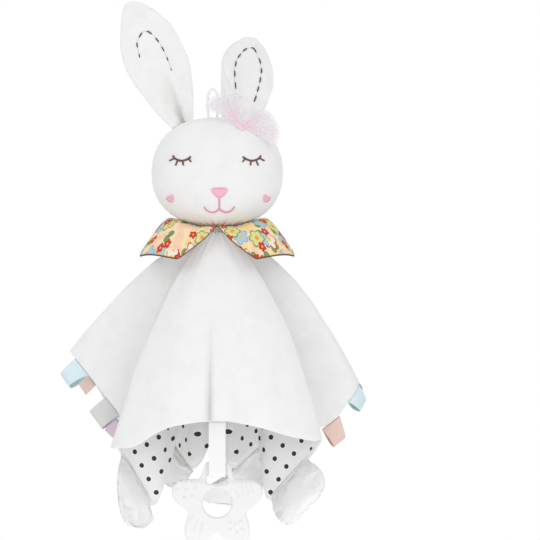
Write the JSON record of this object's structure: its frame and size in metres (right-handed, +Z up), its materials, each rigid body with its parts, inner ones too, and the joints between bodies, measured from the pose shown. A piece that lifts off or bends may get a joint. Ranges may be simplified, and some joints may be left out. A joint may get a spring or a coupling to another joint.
{
  "type": "rabbit comfort blanket",
  "caption": "Plush rabbit head with padded ears on a square blanket with lined folds, paws, ribbon tags and a star teether on a strap.",
  "frame": {"origin": "top of the hanging loop's centre line, where a hook carries it", "axes": "+Z up along the hanging toy, +X to the viewer's right, -Y towards the viewer that the face looks at"},
  "size_m": [0.2383, 0.1418, 0.4028],
  "materials": {
    "white_velour": "short velour pile, matte",
    "polyester_wadding": "loose fibre filling",
    "white_cord": "thin twisted cord",
    "pink_tulle": "sheer net with a pinked edge",
    "brown_thread": "satin stitch embroidery",
    "pink_thread": "satin stitch embroidery",
    "printed_cotton": "plain weave with a printed flower pattern",
    "dotted_cotton": "plain weave with dark round dots",
    "yellow_ribbon": "woven satin ribbon",
    "grey_ribbon": "woven satin ribbon",
    "mint_ribbon": "woven satin ribbon",
    "peach_ribbon": "woven satin ribbon",
    "lilac_ribbon": "woven satin ribbon",
    "strap_cotton": "narrow white webbing",
    "moulded_plastic": "smooth moulding with soft edges"
  },
  "bodies": {
    "head": {"head_face": "white_velour", "head_back_left": "white_velour", "head_back_right": "white_velour", "head_filling": "polyester_wadding", "hang_loop": "white_cord", "bow_left_wing": "pink_tulle", "bow_right_wing": "pink_tulle", "bow_knot": "pink_tulle", "eye_left": "brown_thread", "eye_right": "brown_thread", "nose": "pink_thread", "mouth": "pink_thread", "cheek_heart_left": "pink_thread", "cheek_heart_right": "pink_thread", "neck": "white_velour"},
    "ear_left": {"ear_left_front": "white_velour", "ear_left_back": "white_velour"},
    "ear_right": {"ear_right_front": "white_velour", "ear_right_back": "white_velour"},
    "blanket": {"collar": "printed_cotton", "blanket_top": "white_velour", "blanket_lining": "dotted_cotton", "paw_front_right": "white_velour", "paw_front_left": "white_velour", "paw_back_right": "white_velour", "paw_back_left": "white_velour", "tag_left_yellow": "yellow_ribbon", "tag_left_grey": "grey_ribbon", "tag_left_mint": "mint_ribbon", "tag_left_peach": "peach_ribbon", "tag_left_lilac": "lilac_ribbon", "tag_right_yellow": "yellow_ribbon", "tag_right_grey": "grey_ribbon", "tag_right_mint": "mint_ribbon", "tag_right_peach": "peach_ribbon", "tag_right_lilac": "lilac_ribbon"},
    "strap": {"strap": "strap_cotton"},
    "teether": {"teether_star": "moulded_plastic"}
  },
  "joints": [
    {"name": "ear_left_flop", "type": "hinge", "parent": "head", "child": "ear_left", "pos_m": [-0.02509, 0.00006, -0.02678], "axis": [0.9409, 0, 0.3387], "range_deg": [-30, 40], "stiffness_Nm_per_rad": 0.02},
    {"name": "ear_right_flop", "type": "hinge", "parent": "head", "child": "ear_right", "pos_m": [0.01847, 0.00046, -0.02235], "axis": [0.8545, 0.2512, -0.4546], "range_deg": [-15, 30], "stiffness_Nm_per_rad": 0.02},
    {"name": "neck_nod", "type": "hinge", "parent": "head", "child": "blanket", "pos_m": [0.0034, 0, -0.1062], "axis": [1, 0, 0], "range_deg": [-12, 12]},
    {"name": "strap_swing", "type": "hinge", "parent": "blanket", "child": "strap", "pos_m": [0.00374, -0.04511, -0.24797], "axis": [1, 0, 0], "range_deg": [-30, 15]},
    {"name": "teether_swing", "type": "hinge", "parent": "strap", "child": "teether", "pos_m": [0.00374, -0.04511, -0.28837], "axis": [1, 0, 0], "range_deg": [-10, 10]}
  ]
}
